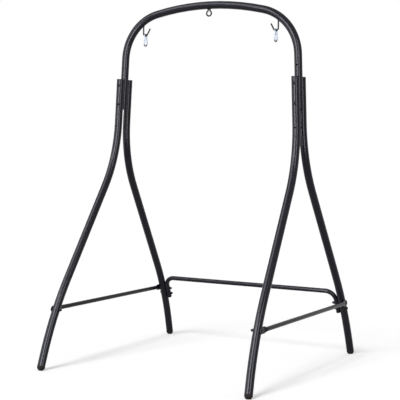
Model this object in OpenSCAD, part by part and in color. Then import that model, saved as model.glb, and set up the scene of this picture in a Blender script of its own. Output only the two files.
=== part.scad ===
// Indoor swing frame: an arch of bent steel tube carried by four splayed legs,
// tied by two side braces and a rear cross bar, with hooks for a hanging swing.
// Millimetres. Origin on the floor under the middle of the frame, +Z up, front towards -Y.

/* [Frame] */
// Overall height, floor to the top of the arch
frame_h = 1878; // [1750:1:2000]
// Distance between the left and right leg axes at the floor
foot_span = 1152; // [1080:1:1300]
// Inward lean of each side frame, in degrees
side_lean = 2.55; // [1.5:0.01:4]

/* [Main tube] */
// Outside diameter of the arch and leg tubes
tube_d = 40; // [34:0.5:42]
// Wall of the arch and leg tubes
tube_wall = 1.5; // [1:0.1:2.5]

/* [Arch] */
// Bend radius of the arch corners, at the tube axis
corner_r = 247; // [200:1:280]
// Radius of the shallow crown, at the tube axis
crown_r = 1393; // [1100:1:1800]
// Straight length between the crown and each corner
crown_straight = 8; // [4:1:30]
// Length of the arch end below the lower joint bolt
arch_lap = 24; // [24:1:45]

/* [Legs] */
// Depth of the leg tops below the top of the arch, along the leaning side frame
arch_rise = 398; // [350:1:450]
// Straight length from the leg top to the upper bend
upper_straight = 228; // [180:1:260]
// Radius of the upper bend, at the tube axis
upper_bend_r = 627; // [500:1:760]
// Splay of the middle of the leg from upright, in degrees
leg_splay = 33.2; // [29:0.1:36]
// Radius of the lower bend, at the tube axis
lower_bend_r = 1510; // [1200:1:1700]
// Splay of the foot from upright, in degrees
foot_splay = 16.8; // [12:0.1:20]
// Straight length of tube above the foot cap
foot_straight = 36; // [28:1:60]
// Gap between the leg tubes and the arch tube at the joint
joint_gap = 0.6; // [0.3:0.1:3]

/* [Joint bolts] */
// Thread diameter of every bolt
bolt_d = 8; // [6:0.5:9]
// Clearance of a bolt hole over the bolt, on the diameter
hole_play = 0.6; // [0.4:0.1:1.2]
// Distance of the upper joint bolt below the leg top
bolt_drop = 31; // [26:1:40]
// Distance between the two joint bolts of a side
bolt_pitch = 100; // [80:1:120]
// Height of the spare hole in the arch above the upper joint bolt
spare_rise = 92; // [60:1:110]
// Depth of the spare hole in the legs below the lower joint bolt
spare_fall = 118; // [90:1:130]
// Diameter of a bolt head
head_d = 15; // [13:0.5:18]
// Height of a bolt head
head_h = 4.4; // [3:0.1:6]
// Hexagon socket in a bolt head, across flats
socket_af = 5; // [4:0.5:6]
// Depth of the socket
socket_depth = 2.6; // [1.5:0.1:2.8]
// Cap nut, across flats
nut_af = 13; // [12:0.5:15]
// Height of the hexagon of a cap nut
nut_hex_h = 6.5; // [5:0.1:8]
// Height of the dome of a cap nut
nut_dome_h = 6; // [5:0.1:8]
// Diameter of the dome of a cap nut
nut_dome_d = 12.2; // [11:0.1:12.6]
// Length of bolt inside a cap nut
nut_grip = 9; // [7:0.1:10]
// Play of the bolt in the nut, on the diameter
thread_play = 0.2; // [0.1:0.05:0.4]
// Diameter of a saddle washer
washer_d = 17; // [15:0.5:19]
// Thickness of a saddle washer over the crown of its tube
washer_t = 1.6; // [1:0.1:3]
// Depth by which a saddle washer reaches down round its tube
washer_wrap = 1.4; // [0.8:0.1:1.8]

/* [Side braces] */
// Outside diameter of a side brace
brace_d = 22; // [19:0.5:24]
// Wall of a side brace
brace_wall = 1.2; // [0.8:0.1:2]
// Height of the side braces, along the leaning side frame
brace_h = 294; // [240:0.5:360]
// Width of the flattened ends
tongue_w = 34; // [28:0.5:38]
// Thickness of the flattened ends
tongue_t = 2.8; // [2:0.1:4]
// Flat length from the bolt towards the middle
tongue_flat = 24; // [20:0.5:40]
// Length of the change from flat to round
tongue_taper = 28; // [20:1:60]
// Paint gap where one tube or tongue seats on another
seat_gap = 0.1; // [0.05:0.05:0.5]

/* [Rear cross bar] */
// Outside diameter of the cross bar
bar_d = 25; // [22:0.5:28]
// Wall of the cross bar
bar_wall = 1.2; // [0.8:0.1:2]
// Bend radius of the cross bar, at its axis
bar_bend_r = 55; // [40:1:58]
// Rise of the bar above its upper bolts, in the plane of the bar
bar_rise = 71; // [66:1:110]
// Distance between the two bolts at each end, along the leaning side frame
bar_pitch = 31; // [26:1:45]
// Length of tube below the lower bolt
bar_tail = 23; // [20:1:50]

/* [Plugs and feet] */
// Length of a plug inside its tube
plug_depth = 15; // [10:1:22]
// Wall of a plug's hollow spigot
plug_wall = 2.5; // [1.5:0.1:4]
// Gap between a plug and the bore of its tube, on the radius
plug_gap = 0.15; // [0.05:0.05:0.4]
// Thickness of the head of an end plug
plug_head = 3.5; // [2:0.5:6]
// Chamfer round the head of an end plug
plug_chamfer = 1.2; // [0.5:0.1:1.8]
// Straight collar of a foot cap above its dome
foot_collar = 5; // [3:0.5:10]
// Depth by which the dome of a foot is flattened for the floor
foot_flat = 3; // [2:0.5:6]

/* [Hooks] */
// Distance of each hook shank inside the leg axes at the floor
hook_inset = 181.5; // [165:0.5:215]
// Wire diameter of the hooks
hook_wire = 8; // [6:0.5:9]
// Bend radius of the hooks, at the wire axis
hook_bend_r = 13; // [12:0.5:18]
// Depth of the wire axis at the bottom of the hooks below the axis of the arch tube
hook_drop = 74; // [66:0.1:95]
// Straight length of the hook tips
hook_tip = 31; // [20:1:40]
// Slope of the hook tips from upright, in degrees
hook_tip_angle = 29; // [15:1:40]

/* [Centre eye] */
// Wire diameter of the eye
eye_wire = 8; // [6:0.5:9]
// Clear diameter inside the eye
eye_bore = 19.4; // [16:0.2:26]
// Depth of the eye below the arch
eye_drop = 39.5; // [37:0.5:60]
// Gap between the two wires at the neck of the eye
eye_gap = 1.8; // [1.4:0.1:4]
// Bend radius of the neck of the eye, at the wire axis
eye_neck_r = 6; // [5:0.5:9]
// Straight between the neck and the ring of the eye
eye_flat = 1.5; // [1:0.1:3]

/* [Snap links] */
// Overall length of a snap link
link_len = 70; // [66:1:80]
// Wire diameter of a snap link
link_wire = 7; // [6:0.5:7.5]
// Outside width of the wide lower end
link_wide = 36; // [32:1:42]
// Room on each side of the hook inside the narrow upper end
link_slack = 1; // [0.4:0.1:3]
// Gap between the link and the hook it hangs on
link_play = 0.3; // [0.2:0.1:0.8]
// Distance of the gate pivot below the upper bend
gate_pivot = 5; // [4.5:0.1:7]
// Length of the nose that the gate closes on
nose_len = 4.4; // [3.5:0.1:6]
// Length of the lip that stops the gate
lip_len = 3.6; // [2.5:0.1:5]
// Thickness of the lip
lip_t = 2.2; // [1.5:0.1:2.6]
// Gap round the ends of the gate
gate_gap = 0.4; // [0.3:0.05:0.6]
// Thickness of the tang that the gate straddles
tang_t = 3; // [2.4:0.1:3.4]
// Gap between the tang and each cheek of the gate
cheek_gap = 0.2; // [0.1:0.05:0.4]
// Diameter of the gate pin
pin_d = 2.5; // [2:0.1:3]
// Radial play of the pin in the tang
pin_play = 0.05; // [0.02:0.01:0.1]
// Radial gap of the pin in the cheeks
pin_seat = 0.02; // [0.01:0.01:0.03]
// Outside diameter of the gate spring
spring_d = 3.4; // [2.8:0.1:3.6]
// Wire thickness of the gate spring
spring_wire = 0.6; // [0.4:0.1:0.8]
// Length of solid gate beyond the spring
spring_end = 11.7; // [9:0.1:16]
// Radial gap of the spring in its bore
spring_gap = 0.2; // [0.1:0.05:0.3]

/* [Hidden] */
$fn = 64;

coat = "#2d2e31";
black_zinc = "#1c1c1e";
black_plastic = "#19191a";
black_rubber = "#1d1a18";
bright_zinc = "#c8cdd2";
spring_steel = "#9a9da1";

eps = 0.01;
// Bends are drawn a hair thinner than the straights and run a little way into them
lap = 0.4;
lap_step = 0.02;
tube_r = tube_d / 2;
tube_bore = tube_d - 2 * tube_wall;
foot_x = foot_span / 2;
hole_d = bolt_d + hole_play;

// The arch: a crown between two corners, each tangent to a leaning straight end
arch_top_h = frame_h - tube_r;
crown_reach = foot_x * cos(side_lean) - (arch_top_h - crown_r) * sin(side_lean) - corner_r;
crown_turn = asin(crown_reach / norm([crown_r - corner_r, crown_straight]));
crown_half = crown_turn - atan(crown_straight / (crown_r - corner_r)) - side_lean;
corner_angle = 90 - side_lean - crown_half;
crown_end_x = crown_r * sin(crown_half);
crown_end_z = arch_top_h - crown_r + crown_r * cos(crown_half);
corner_top_x = crown_end_x + crown_straight * cos(crown_half);
corner_top_z = crown_end_z - crown_straight * sin(crown_half);
corner_x = corner_top_x - corner_r * sin(crown_half);
corner_z = corner_top_z - corner_r * cos(crown_half);
corner_start = (foot_x - corner_x) * sin(side_lean) + corner_z * cos(side_lean);
function arch_axis_z(x) = x < crown_end_x ? arch_top_h - crown_r + sqrt(pow(crown_r, 2) - pow(x, 2))
    : x < corner_top_x ? crown_end_z - (x - crown_end_x) * tan(crown_half)
    : corner_z + sqrt(pow(corner_r, 2) - pow(x - corner_x, 2));

// Heights along the leaning side frame
leg_top_h = frame_h - arch_rise;
bolt_upper = leg_top_h - bolt_drop;
bolt_lower = bolt_upper - bolt_pitch;
arch_end = bolt_lower - arch_lap;
spare_arch = bolt_upper + spare_rise;
spare_leg = bolt_lower - spare_fall;

// A leg from the top down: straight, upper bend, straight, lower bend, straight
leg_off = tube_d + joint_gap;
upper_start_h = leg_top_h - upper_straight;
upper_end_h = upper_start_h - upper_bend_r * sin(leg_splay);
upper_end_y = leg_off + upper_bend_r * (1 - cos(leg_splay));
dome_h = (tube_r - foot_flat) / cos(side_lean);
leg_end_h = dome_h + foot_collar * cos(foot_splay);
lower_end_h = leg_end_h + foot_straight * cos(foot_splay);
lower_start_h = lower_end_h + lower_bend_r * (sin(leg_splay) - sin(foot_splay));
middle_len = (upper_end_h - lower_start_h) / cos(leg_splay);
lower_start_y = upper_end_y + middle_len * sin(leg_splay);
lower_end_y = lower_start_y + lower_bend_r * (cos(foot_splay) - cos(leg_splay));
leg_end_y = lower_end_y + foot_straight * sin(foot_splay);
leg_path = [
    [upper_straight, upper_bend_r, leg_splay],
    [middle_len, lower_bend_r, foot_splay - leg_splay],
    [foot_straight, 0, 0]
];

// Slope of a leg from upright, and its distance from the middle, at a height
function leg_slope(h) = h > upper_start_h ? 0
    : h > upper_end_h ? asin((upper_start_h - h) / upper_bend_r)
    : h > lower_start_h ? leg_splay
    : h > lower_end_h ? asin(sin(leg_splay) - (lower_start_h - h) / lower_bend_r)
    : foot_splay;
function leg_y(h) = h > upper_start_h ? leg_off
    : h > upper_end_h ? leg_off + upper_bend_r * (1 - cos(leg_slope(h)))
    : h > lower_start_h ? upper_end_y + (upper_end_h - h) * tan(leg_splay)
    : h > lower_end_h ? lower_start_y + lower_bend_r * (cos(leg_slope(h)) - cos(leg_splay))
    : lower_end_y + (lower_end_h - h) * tan(foot_splay);

// Side braces and the cross bar share the upper bolt of each rear leg
brace_y = leg_y(brace_h);
tongue_x = tube_r + seat_gap + tongue_t / 2;
brace_half = brace_y - tongue_flat - tongue_taper;
bar_r = bar_d / 2;
bar_off = tube_r + seat_gap + bar_r;
bar_low_h = brace_h - bar_pitch;
bar_low_y = leg_y(bar_low_h);
bar_slope = atan((bar_low_y - brace_y) / bar_pitch);
bar_tilt = atan(tan(bar_slope) / cos(side_lean));
bar_lean = asin(sin(side_lean) * cos(bar_slope));
bar_bolt_x = foot_x - bar_off * cos(side_lean) - brace_h * sin(side_lean);
bar_bolt_z = brace_h * cos(side_lean) - bar_off * sin(side_lean);
bar_below = bar_pitch / cos(bar_slope) + bar_tail;
bar_above = (bar_rise - bar_bend_r * (1 - sin(bar_lean))) / cos(bar_lean);
bar_top_x = bar_bolt_x - bar_above * sin(bar_lean) - bar_bend_r * cos(bar_lean);
bar_path = [
    [bar_below + bar_above, bar_bend_r, 90 - bar_lean],
    [2 * bar_top_x, bar_bend_r, 90 - bar_lean],
    [bar_below + bar_above, 0, 0]
];

// Seats of the bolt heads and nuts, measured from the leg axis
joint_seat = leg_off + tube_r + washer_t;
tongue_seat = tube_r + seat_gap + tongue_t;
leg_seat = tube_r + washer_t;
bar_seat = bar_off + bar_r + washer_t;

// Hooks and the eye
hook_x = foot_x - hook_inset;
hook_x_low = hook_x - hook_bend_r;
hook_bottom_h = arch_axis_z(hook_x) - hook_drop;
hook_path = [
    [hook_drop - hook_bend_r, hook_bend_r, 180 - hook_tip_angle],
    [hook_tip, 0, 0]
];
eye_r = (eye_bore + eye_wire) / 2;
eye_z = frame_h - tube_d - eye_drop + eye_r + eye_wire / 2;
eye_neck_x = (eye_wire + eye_gap) / 2;
eye_span = norm([eye_r + eye_neck_r, eye_flat]);
eye_flare = acos((eye_neck_x + eye_neck_r) / eye_span) - atan(eye_flat / (eye_r + eye_neck_r));
eye_neck_z = eye_z + (eye_r + eye_neck_r) * sin(eye_flare) + eye_flat * cos(eye_flare);
eye_start_z = frame_h - 3 * tube_r / 2;
eye_path = [
    [eye_start_z - eye_neck_z, eye_neck_r, -eye_flare],
    [eye_flat, eye_r, 180 + 2 * eye_flare],
    [eye_flat, eye_neck_r, -eye_flare],
    [eye_start_z - eye_neck_z, 0, 0]
];

// Snap links hang with their upper bend over the bottom of the hook
link_r = link_wire / 2;
link_top_r = hook_wire / 2 + link_slack + link_r;
link_low_r = (link_wide - link_wire) / 2;
link_rise = hook_wire / 2 + link_play + link_r - link_top_r;
link_drop = link_len - link_wire - link_top_r - link_low_r;
link_slope = asin((link_low_r - link_top_r) / link_drop);
link_side = link_drop * cos(link_slope);
link_path = [
    [0, link_top_r, 180 - 2 * link_slope],
    [link_side, link_low_r, 180 + 2 * link_slope],
    [nose_len, 0, 0]
];
nose_start = link_side - nose_len;
gate_tip = nose_start - gate_gap;
tang_r = link_r - gate_gap / 2;
slot_end = gate_pivot + tang_r + gate_gap;
slot_w = tang_t + 2 * cheek_gap;
shoulder = gate_pivot - link_r - gate_gap;
spring_top = slot_end + gate_gap;
spring_len = gate_tip - spring_end - spring_top;
spring_bore = spring_d + 2 * spring_gap;

// Bend that starts along +Z and turns towards -X about the origin
module bend_arc(r, angle, d) {
    over = lap / r * 180 / PI;
    rotate([90, 0, 0]) rotate([0, 0, -over]) rotate_extrude(angle = angle + 2 * over)
        translate([r, 0]) circle(d = d - 2 * lap_step);
}

// Run of [straight, bend radius, angle] steps along +Z: a positive angle turns towards -X
module bent_run(path, d, i = 0) {
    len = path[i][0];
    r = path[i][1];
    angle = path[i][2];
    if (len > 0) cylinder(h = len, d = d);
    if (r > 0 && angle > 0) translate([-r, 0, len]) {
        bend_arc(r, angle, d);
        rotate([0, -angle, 0]) translate([r, 0, 0]) bent_run(path, d, i + 1);
    }
    if (r > 0 && angle < 0) translate([r, 0, len]) {
        mirror([1, 0, 0]) bend_arc(r, -angle, d);
        rotate([0, -angle, 0]) translate([-r, 0, 0]) bent_run(path, d, i + 1);
    }
}

// Frame of the right side, leaning inwards; side -1 mirrors it to the left
module on_side(side) {
    mirror([side < 0 ? 1 : 0, 0, 0]) translate([foot_x, 0, 0]) rotate([0, -side_lean, 0]) children();
}

module both_sides() {
    for (side = [-1, 1]) on_side(side) children();
}

module to_row(row) {
    mirror([0, row < 0 ? 1 : 0, 0]) children();
}

// Bolt along +Z from the underside of its head, which lies below the origin
module bolt(grip) {
    dome_r = (pow(head_h, 2) + pow(head_d / 2, 2)) / (2 * head_h);
    difference() {
        union() {
            intersection() {
                translate([0, 0, -head_h]) cylinder(h = head_h, d = head_d);
                translate([0, 0, dome_r - head_h]) sphere(r = dome_r);
            }
            cylinder(h = grip + nut_grip, d = bolt_d);
        }
        translate([0, 0, -head_h - eps]) cylinder(h = socket_depth, d = socket_af / cos(30), $fn = 6);
    }
}

// Cap nut standing on the origin along +Z
module cap_nut() {
    dome_r = (pow(nut_dome_h, 2) + pow(nut_dome_d / 2, 2)) / (2 * nut_dome_h);
    difference() {
        union() {
            cylinder(h = nut_hex_h, d = nut_af / cos(30), $fn = 6);
            intersection() {
                translate([0, 0, nut_hex_h]) cylinder(h = nut_dome_h, d = nut_dome_d);
                translate([0, 0, nut_hex_h + nut_dome_h - dome_r]) sphere(r = dome_r);
            }
        }
        translate([0, 0, -eps]) cylinder(h = nut_grip + hole_play, d = bolt_d + thread_play);
    }
}

// Washer whose flat seat is at the origin facing -Z, hollowed for a tube along X
module saddle_washer(d) {
    depth = washer_t + washer_wrap;
    difference() {
        cylinder(h = depth, d = washer_d);
        translate([-washer_d, 0, washer_t + d / 2]) rotate([0, 90, 0]) cylinder(h = 2 * washer_d, d = d);
        translate([0, 0, -eps]) cylinder(h = depth + 2 * eps, d = hole_d);
    }
}

// Push-in plug for a tube end: the head above the origin, the hollow spigot below
module end_plug(d, bore) {
    spigot_r = bore / 2 - plug_gap;
    rotate_extrude() polygon([
        [0, plug_head], [d / 2 - plug_chamfer, plug_head], [d / 2, plug_head - plug_chamfer], [d / 2, 0],
        [spigot_r, 0], [spigot_r, -plug_depth], [spigot_r - plug_wall, -plug_depth],
        [spigot_r - plug_wall, 0], [0, 0]
    ]);
}

module arch_run(d, over = 0) {
    path = [
        [corner_start - arch_end + over, corner_r, corner_angle],
        [crown_straight, crown_r, 2 * crown_half],
        [crown_straight, corner_r, corner_angle],
        [corner_start - arch_end + over, 0, 0]
    ];
    on_side(1) translate([0, 0, arch_end - over]) bent_run(path, d);
}

module top_arch() {
    color(coat) difference() {
        arch_run(tube_d);
        arch_run(tube_bore, eps);
        both_sides() for (h = [bolt_upper, bolt_lower, spare_arch])
            translate([0, 0, h]) rotate([90, 0, 0]) cylinder(h = 2 * tube_d, d = hole_d, center = true);
    }
}

module leg_run(d, over = 0) {
    path = [for (i = [0:2]) [leg_path[i][0] + (i == 1 ? 0 : over), leg_path[i][1], leg_path[i][2]]];
    translate([0, leg_off, leg_top_h + over]) rotate([180, 0, -90]) bent_run(path, d);
}

module leg(side, row) {
    side_holes = row > 0 ? [brace_h, bar_low_h] : [brace_h];
    color(coat) on_side(side) to_row(row) difference() {
        leg_run(tube_d);
        leg_run(tube_bore, eps);
        for (h = [bolt_upper, bolt_lower, spare_leg])
            translate([0, leg_y(h), h]) rotate([90, 0, 0]) cylinder(h = 2 * tube_d, d = hole_d, center = true);
        for (h = side_holes)
            translate([0, leg_y(h), h]) rotate([0, 90, 0]) cylinder(h = 2 * tube_d, d = hole_d, center = true);
    }
}

module front_left_leg() { leg(-1, -1); }
module front_right_leg() { leg(1, -1); }
module rear_left_leg() { leg(-1, 1); }
module rear_right_leg() { leg(1, 1); }

// Domed cap pushed into a leg, its dome cut flat at the floor
module foot(side, row) {
    spigot_r = tube_bore / 2 - plug_gap;
    color(black_rubber) difference() {
        on_side(side) to_row(row) translate([0, leg_end_y, leg_end_h]) rotate([foot_splay, 0, 0]) {
            translate([0, 0, -foot_collar]) cylinder(h = foot_collar, d = tube_d);
            translate([0, 0, -foot_collar]) intersection() {
                sphere(d = tube_d - 2 * lap_step);
                translate([0, 0, -tube_r]) cylinder(h = tube_r + lap, d = tube_d);
            }
            cylinder(h = plug_depth, r = spigot_r);
        }
        translate([-foot_span, -2 * leg_end_y, -tube_d]) cube([2 * foot_span, 4 * leg_end_y, tube_d]);
    }
}

module front_left_foot() { foot(-1, -1); }
module front_right_foot() { foot(1, -1); }
module rear_left_foot() { foot(-1, 1); }
module rear_right_foot() { foot(1, 1); }

// Change from round to flat at a brace end, starting inside the closed end of the tube
module brace_taper() {
    hull() {
        translate([0, -brace_wall / 2, 0]) rotate([90, 0, 0])
            cylinder(h = eps, d = brace_d - brace_wall / 2, $fn = 32);
        translate([0, tongue_taper, 0]) cube([tongue_t, eps, tongue_w], center = true);
    }
}

module side_brace(side) {
    bore = brace_d - 2 * brace_wall;
    color(coat) on_side(side) translate([tongue_x, 0, brace_h]) {
        difference() {
            rotate([90, 0, 0]) cylinder(h = 2 * brace_half, d = brace_d, center = true);
            rotate([90, 0, 0]) cylinder(h = 2 * (brace_half - brace_wall), d = bore, center = true);
        }
        for (row = [-1, 1]) to_row(row) {
            translate([0, brace_half, 0]) brace_taper();
            difference() {
                union() {
                    translate([-tongue_t / 2, brace_half + tongue_taper, -tongue_w / 2])
                        cube([tongue_t, tongue_flat, tongue_w]);
                    translate([0, brace_y, 0]) rotate([0, 90, 0])
                        cylinder(h = tongue_t, d = tongue_w, center = true);
                }
                translate([0, brace_y, 0]) rotate([0, 90, 0])
                    cylinder(h = 2 * tongue_t, d = hole_d, center = true);
            }
        }
    }
}

module left_side_brace() { side_brace(-1); }
module right_side_brace() { side_brace(1); }

module bar_run(d, over = 0) {
    path = [for (i = [0:2]) [bar_path[i][0] + (i == 1 ? 0 : over), bar_path[i][1], bar_path[i][2]]];
    translate([0, brace_y, bar_bolt_z]) rotate([bar_tilt, 0, 0]) translate([bar_bolt_x, 0, 0])
        rotate([0, -bar_lean, 0]) translate([0, 0, -bar_below - over]) bent_run(path, d);
}

module rear_cross_bar() {
    color(coat) difference() {
        bar_run(bar_d);
        bar_run(bar_d - 2 * bar_wall, eps);
        both_sides() for (h = [brace_h, bar_low_h])
            translate([-bar_off, leg_y(h), h]) rotate([0, 90, 0])
                cylinder(h = 2 * bar_d, d = hole_d, center = true);
    }
}

module leg_top_plugs() {
    color(black_plastic) both_sides() for (row = [-1, 1])
        translate([0, row * leg_off, leg_top_h]) end_plug(tube_d, tube_bore);
}

module arch_end_plugs() {
    color(black_plastic) both_sides() translate([0, 0, arch_end]) mirror([0, 0, 1]) end_plug(tube_d, tube_bore);
}

module cross_bar_plugs() {
    color(black_plastic) for (side = [-1, 1]) mirror([side < 0 ? 1 : 0, 0, 0])
        translate([0, brace_y, bar_bolt_z]) rotate([bar_tilt, 0, 0]) translate([bar_bolt_x, 0, 0])
            rotate([0, -bar_lean, 0]) translate([0, 0, -bar_below]) mirror([0, 0, 1])
                end_plug(bar_d, bar_d - 2 * bar_wall);
}

// Places along the joint bolts: at the front seats facing back, or at the rear seats facing out
module at_joint_fronts() {
    both_sides() for (h = [bolt_upper, bolt_lower])
        translate([0, -joint_seat, h]) rotate([-90, 0, 0]) children();
}

module at_joint_backs() {
    both_sides() for (h = [bolt_upper, bolt_lower])
        translate([0, joint_seat, h]) rotate([-90, 0, 0]) children();
}

module joint_bolts() {
    color(black_zinc) at_joint_fronts() bolt(2 * joint_seat);
}

module joint_washers() {
    color(black_zinc) {
        at_joint_fronts() rotate([0, 0, 90]) saddle_washer(tube_d);
        at_joint_backs() mirror([0, 0, 1]) rotate([0, 0, 90]) saddle_washer(tube_d);
    }
}

module joint_cap_nuts() {
    color(black_zinc) at_joint_backs() cap_nut();
}

// Places along the side bolts: at an outer seat facing in, or at an inner seat facing in
module at_side(row, h, seat) {
    both_sides() translate([seat, row * leg_y(h), h]) rotate([0, -90, 0]) children();
}

module front_brace_bolts() {
    color(black_zinc) at_side(-1, brace_h, tongue_seat) bolt(tongue_seat + leg_seat);
}

module front_brace_nuts() {
    color(black_zinc) at_side(-1, brace_h, -leg_seat) cap_nut();
}

module rear_brace_bolts() {
    color(black_zinc) at_side(1, brace_h, tongue_seat) bolt(tongue_seat + bar_seat);
}

module rear_brace_nuts() {
    color(black_zinc) at_side(1, brace_h, -bar_seat) cap_nut();
}

module cross_bar_bolts() {
    color(black_zinc) at_side(1, bar_low_h, leg_seat) bolt(leg_seat + bar_seat);
}

module cross_bar_nuts() {
    color(black_zinc) at_side(1, bar_low_h, -bar_seat) cap_nut();
}

module side_washers() {
    color(black_zinc) {
        at_side(-1, brace_h, -leg_seat) mirror([0, 0, 1])
            rotate([0, 0, leg_slope(brace_h)]) saddle_washer(tube_d);
        at_side(1, bar_low_h, leg_seat) rotate([0, 0, -leg_slope(bar_low_h)]) saddle_washer(tube_d);
        for (h = [brace_h, bar_low_h])
            at_side(1, h, -bar_seat) mirror([0, 0, 1]) rotate([0, 0, -bar_slope]) saddle_washer(bar_d);
    }
}

// Open hook of bent wire, welded under the arch corner
module hook(side) {
    color(coat) mirror([side < 0 ? 1 : 0, 0, 0]) difference() {
        translate([hook_x, 0, arch_axis_z(hook_x)]) rotate([180, 0, 0]) {
            bent_run(hook_path, hook_wire);
            translate([-hook_bend_r, 0, hook_path[0][0]]) rotate([0, hook_tip_angle - 180, 0])
                translate([hook_bend_r, 0, hook_tip]) sphere(d = hook_wire - 2 * lap_step);
        }
        arch_run(tube_d);
    }
}

module left_hook() { hook(-1); }
module right_hook() { hook(1); }

// Ring of bent wire with a short neck, welded under the crown
module center_eye() {
    color(coat) difference() {
        translate([-eye_neck_x, 0, eye_start_z]) rotate([0, 180, 0]) bent_run(eye_path, eye_wire);
        arch_run(tube_d);
    }
}

// Frame of a snap link: origin at the hook's wire, +X towards the gate, +Y across the link
module at_hook(side) {
    translate([side * hook_x_low, 0, hook_bottom_h]) rotate([0, 0, -90]) children();
}

// Frame of the gate line: origin where the upper bend ends, the gate running along -Z
module at_gate() {
    translate([link_top_r * cos(link_slope), 0, link_rise + link_top_r * sin(link_slope)])
        rotate([0, -link_slope, 0]) children();
}

module gate_rod(from, to, d = link_wire) {
    translate([0, 0, -to]) cylinder(h = to - from, d = d);
}

module across(d, len) {
    translate([0, 0, -gate_pivot]) rotate([90, 0, 0]) cylinder(h = len, d = d, center = true);
}

module snap_link(side) {
    color(bright_zinc) at_hook(side) at_gate() difference() {
        union() {
            bent_run(link_path, link_wire);
            gate_rod(0, shoulder);
            intersection() {
                union() {
                    gate_rod(0, gate_pivot);
                    across(2 * tang_r, link_wire);
                }
                translate([-link_wire, -tang_t / 2, -2 * gate_pivot])
                    cube([2 * link_wire, tang_t, 2 * gate_pivot]);
            }
            intersection() {
                gate_rod(nose_start - lip_len, nose_start + nose_len / 2, link_wire - 2 * lap_step);
                translate([link_r - lip_t, -link_wire, -link_side]) cube([lip_t, 2 * link_wire, link_side]);
            }
        }
        across(pin_d + 2 * pin_play, 2 * link_wire);
    }
}

module left_link() { snap_link(-1); }
module right_link() { snap_link(1); }

module snap_gate(side) {
    recess_x = link_r - lip_t - gate_gap;
    recess_h = lip_len + gate_gap;
    color(bright_zinc) at_hook(side) at_gate() difference() {
        union() {
            gate_rod(gate_pivot, gate_tip);
            translate([0, 0, -gate_pivot]) sphere(d = link_wire - 2 * lap_step);
        }
        translate([-link_wire, -slot_w / 2, -slot_end]) cube([2 * link_wire, slot_w, slot_end]);
        translate([recess_x, -link_wire, -gate_tip - eps]) cube([link_wire, 2 * link_wire, recess_h]);
        translate([0, 0, -spring_top - spring_len]) cylinder(h = spring_len + link_wire, d = spring_bore);
        across(pin_d + 2 * pin_seat, 2 * link_wire);
    }
}

module left_gate() { snap_gate(-1); }
module right_gate() { snap_gate(1); }

module gate_pin(side) {
    color(spring_steel) at_hook(side) at_gate() across(pin_d, link_wire - gate_gap);
}

module left_gate_pin() { gate_pin(-1); }
module right_gate_pin() { gate_pin(1); }

module gate_spring(side) {
    color(spring_steel) at_hook(side) at_gate() translate([0, 0, -spring_top - spring_len]) difference() {
        cylinder(h = spring_len, d = spring_d);
        translate([0, 0, -eps]) cylinder(h = spring_len + 2 * eps, d = spring_d - 2 * spring_wire);
    }
}

module left_gate_spring() { gate_spring(-1); }
module right_gate_spring() { gate_spring(1); }

top_arch();
front_left_leg();
front_right_leg();
rear_left_leg();
rear_right_leg();
left_side_brace();
right_side_brace();
rear_cross_bar();
front_left_foot();
front_right_foot();
rear_left_foot();
rear_right_foot();
leg_top_plugs();
arch_end_plugs();
cross_bar_plugs();
joint_bolts();
joint_washers();
joint_cap_nuts();
front_brace_bolts();
front_brace_nuts();
rear_brace_bolts();
rear_brace_nuts();
cross_bar_bolts();
cross_bar_nuts();
side_washers();
left_hook();
right_hook();
center_eye();
left_link();
left_gate();
left_gate_pin();
left_gate_spring();
right_link();
right_gate();
right_gate_pin();
right_gate_spring();
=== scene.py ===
"""Looks of an indoor swing frame: bent tubes, braces, fastenings and hanging gear."""

import logging
import math
from dataclasses import dataclass
from enum import Enum
from typing import Any, Sequence

import bmesh
import bpy
from bmesh.types import BMEdge, BMesh, BMVert
from mathutils import Matrix, Vector


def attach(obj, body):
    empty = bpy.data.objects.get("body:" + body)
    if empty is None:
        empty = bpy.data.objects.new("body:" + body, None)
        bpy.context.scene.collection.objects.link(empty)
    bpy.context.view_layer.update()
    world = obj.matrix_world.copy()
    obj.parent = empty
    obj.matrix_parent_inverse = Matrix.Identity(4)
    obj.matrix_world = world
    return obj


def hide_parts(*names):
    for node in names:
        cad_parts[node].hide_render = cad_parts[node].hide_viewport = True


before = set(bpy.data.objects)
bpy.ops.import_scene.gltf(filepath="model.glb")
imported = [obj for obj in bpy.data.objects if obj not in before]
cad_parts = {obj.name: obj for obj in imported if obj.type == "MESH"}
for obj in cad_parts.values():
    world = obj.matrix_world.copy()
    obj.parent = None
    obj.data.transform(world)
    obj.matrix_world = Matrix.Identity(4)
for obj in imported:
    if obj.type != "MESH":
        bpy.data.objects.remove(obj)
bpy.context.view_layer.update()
log = logging.getLogger("swing_frame")

# Lengths are in millimetres and angles in degrees until a piece is put in place
MM_PER_METRE = 1000.0
# Corners closer than this are one corner
MERGE = 1e-4
# Edges that fold by less than this are shaded smooth
SMOOTH_BELOW = 35.0
# Rings along a bend: one for each such angle, and the fewest
BEND_STEP = 2.5
BEND_RINGS = 8
# Facets round tubes and turned shapes, round wires and bars, and in a hexagon
TUBE_SIDES = 48
WIRE_SIDES = 32
HEX_SIDES = 6
# How far a shape reaches into or past one that it joins or cuts
LAP = 1.0
# Numbers of a Mix node's sockets for colour
MIX_FIRST = 6
MIX_SECOND = 7
MIX_RESULT = 2
WHITE = (1.0, 1.0, 1.0, 1.0)

Profile = tuple[tuple[float, float], ...]
Triple = tuple[float, float, float]


class Half(Enum):
    """One of two mirrored halves, by the sign of its axis."""

    @property
    def label(self) -> str:
        """Its name as it stands in the names of pieces."""
        return self.name.lower()


class Side(Half):
    """The two side frames, by the sign of X."""

    LEFT = -1
    RIGHT = 1


class Row(Half):
    """The two rows of legs, by the sign of Y."""

    FRONT = -1
    REAR = 1


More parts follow.
